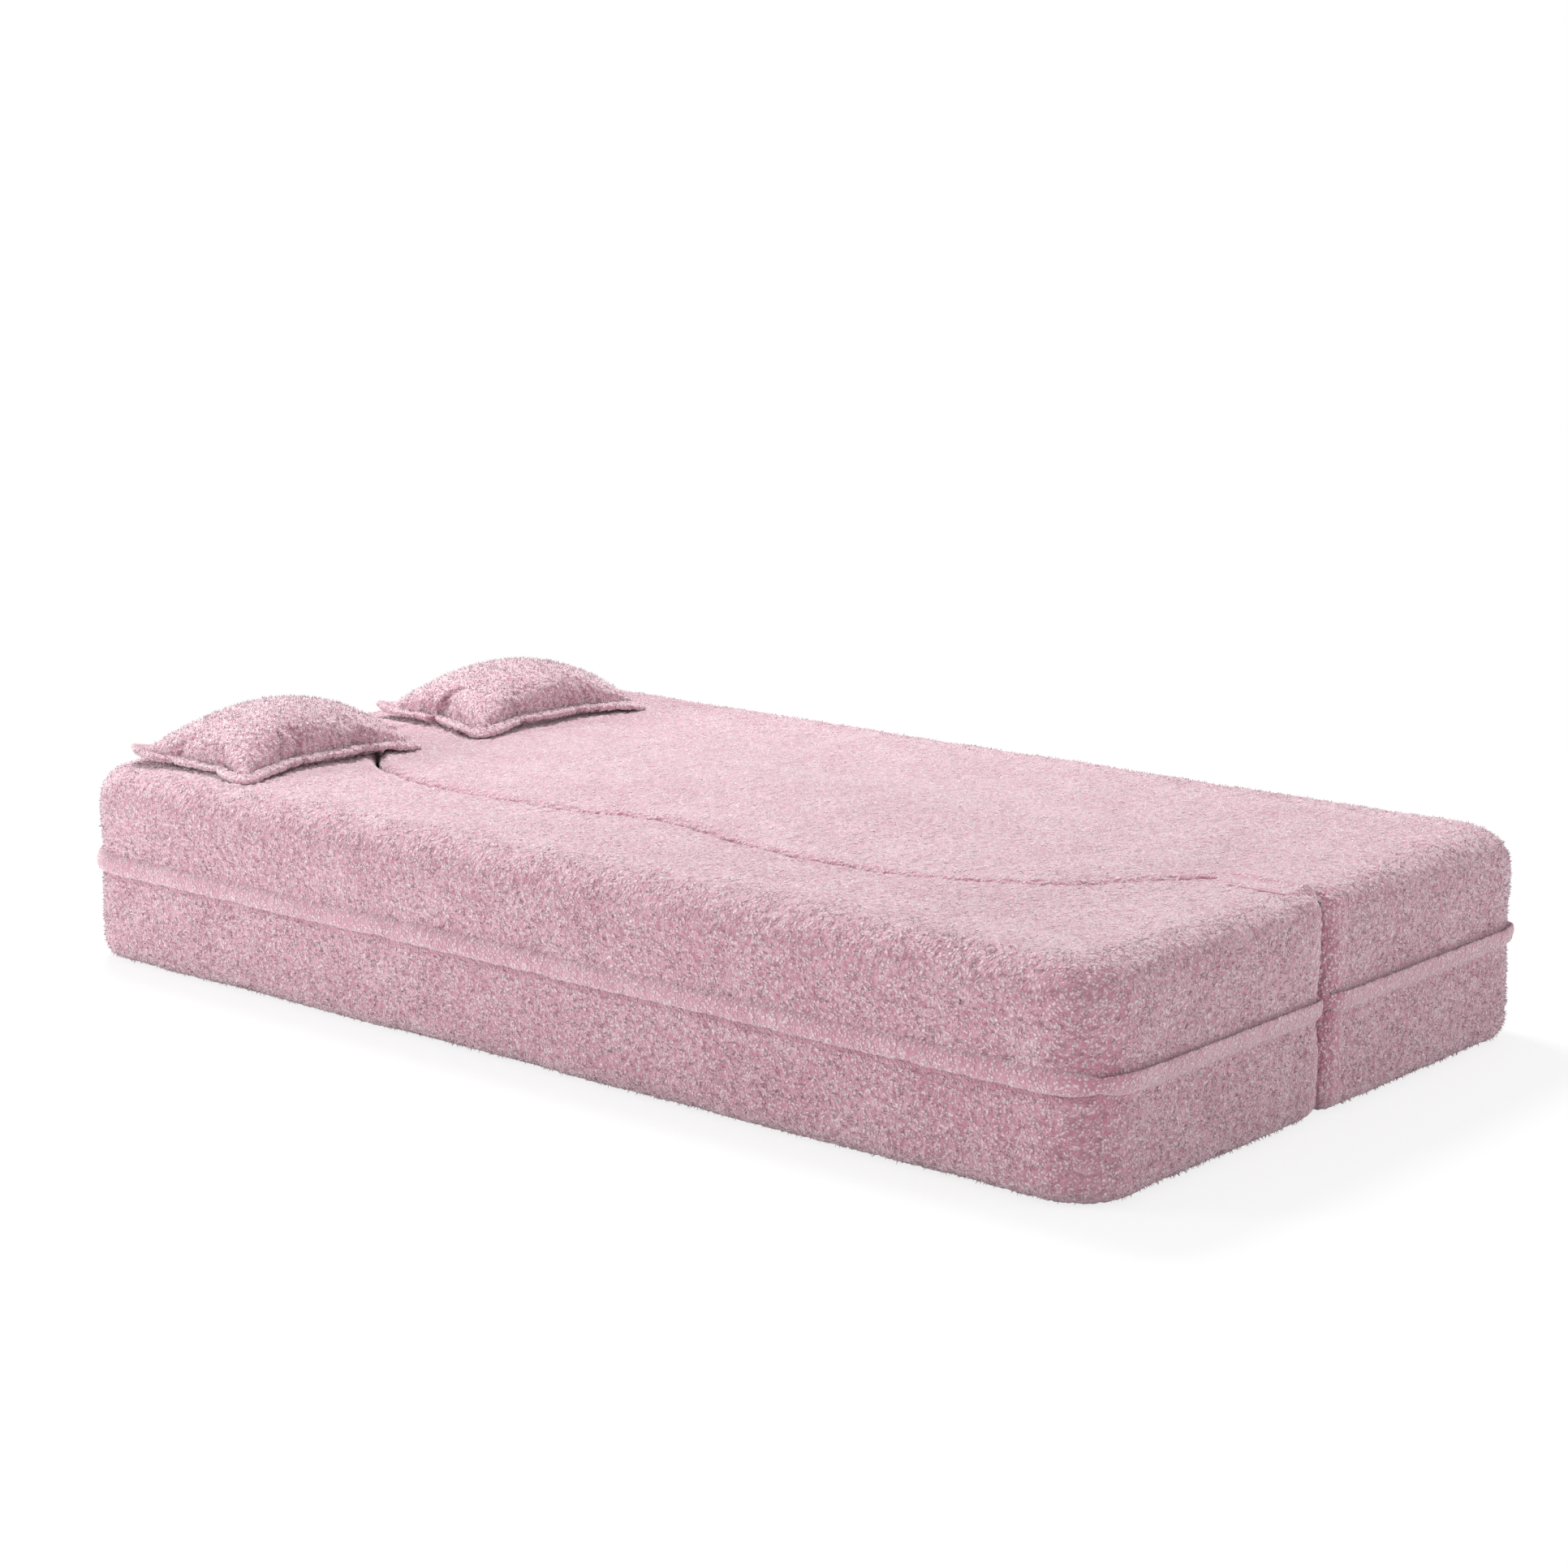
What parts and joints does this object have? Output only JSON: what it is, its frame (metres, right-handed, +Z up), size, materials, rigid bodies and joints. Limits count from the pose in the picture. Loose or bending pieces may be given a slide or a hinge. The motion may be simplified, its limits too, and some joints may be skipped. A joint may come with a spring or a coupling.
{
  "type": "floor sofa bed",
  "caption": "Low foam sofa bed in long-pile fleece, shown open flat with loose pillows; a U-shaped block folds over onto a deep seat block to make the back and arms.",
  "frame": {"origin": "on the floor, under the middle of the open bed's bounding box", "axes": "+X along the bed from the head end with the pillows to the foot end, -Y towards the U-shaped back block, +Z up"},
  "size_m": [1.916, 1.066, 0.3905],
  "materials": {
    "fleece": "long-pile fleece",
    "base_cloth": "non-slip cloth",
    "webbing": "woven webbing",
    "cord": "twisted cord",
    "zip_tape": "woven tape and coil",
    "zip_metal": "satin",
    "soft_foam": "open-cell foam",
    "firm_foam": "open-cell foam",
    "fibre_fill": "loose fibre"
  },
  "bodies": {
    "seat_block": {"seat_cover_upper": "fleece", "seat_cover_lower": "fleece", "seat_base_cloth": "base_cloth", "seat_zip_flap": "fleece", "seat_zip_tape": "zip_tape", "seat_foam_comfort": "soft_foam", "seat_foam_core": "firm_foam", "seat_hinge_leaf": "webbing", "hinge_cord": "cord"},
    "back_block": {"back_cover_upper": "fleece", "back_cover_lower": "fleece", "back_base_cloth": "base_cloth", "back_zip_flap": "fleece", "back_zip_tape": "zip_tape", "back_foam_comfort": "soft_foam", "back_foam_core": "firm_foam", "back_hinge_leaf": "webbing"},
    "seat_slider": {"seat_zip_slider": "zip_metal"},
    "back_slider": {"back_zip_slider": "zip_metal"},
    "near_pillow": {"near_pillow_front": "fleece", "near_pillow_back": "fleece", "near_pillow_fill": "fibre_fill", "near_pillow_zip": "zip_tape"},
    "near_pillow_zip_pull": {"near_pillow_slider": "zip_metal"},
    "far_pillow": {"far_pillow_front": "fleece", "far_pillow_back": "fleece", "far_pillow_fill": "fibre_fill", "far_pillow_zip": "zip_tape"},
    "far_pillow_zip_pull": {"far_pillow_slider": "zip_metal"}
  },
  "joints": [
    {"name": "back_fold", "type": "hinge", "parent": "seat_block", "child": "back_block", "pos_m": [0, -0.012, 0.304], "axis": [-1, 0, 0], "range_deg": [0, 180]},
    {"name": "near_pillow_away", "type": "slide", "parent": "back_block", "child": "near_pillow", "axis": [0, -0.9235, 0.3836], "range_m": [0, 0.563]},
    {"name": "far_pillow_away", "type": "slide", "parent": "seat_block", "child": "far_pillow", "axis": [0.9107, -0.412, 0.0304], "range_m": [0, 0.461]},
    {"name": "seat_zip_slide", "type": "slide", "parent": "seat_block", "child": "seat_slider", "axis": [-1, 0, 0], "range_m": [0, 1.54]},
    {"name": "back_zip_slide", "type": "slide", "parent": "back_block", "child": "back_slider", "axis": [-1, 0, 0], "range_m": [0, 1.54]},
    {"name": "near_pillow_zip_slide", "type": "slide", "parent": "near_pillow", "child": "near_pillow_zip_pull", "axis": [0.0175, -0.9998, 0], "range_m": [0, 0.13]},
    {"name": "far_pillow_zip_slide", "type": "slide", "parent": "far_pillow", "child": "far_pillow_zip_pull", "axis": [-0.0523, -0.9986, 0], "range_m": [0, 0.13]}
  ],
  "couplings": [
    {"joint": "near_pillow_away", "follows": "back_fold", "m_per_rad": 0.1792},
    {"joint": "far_pillow_away", "follows": "back_fold", "m_per_rad": 0.14674}
  ]
}
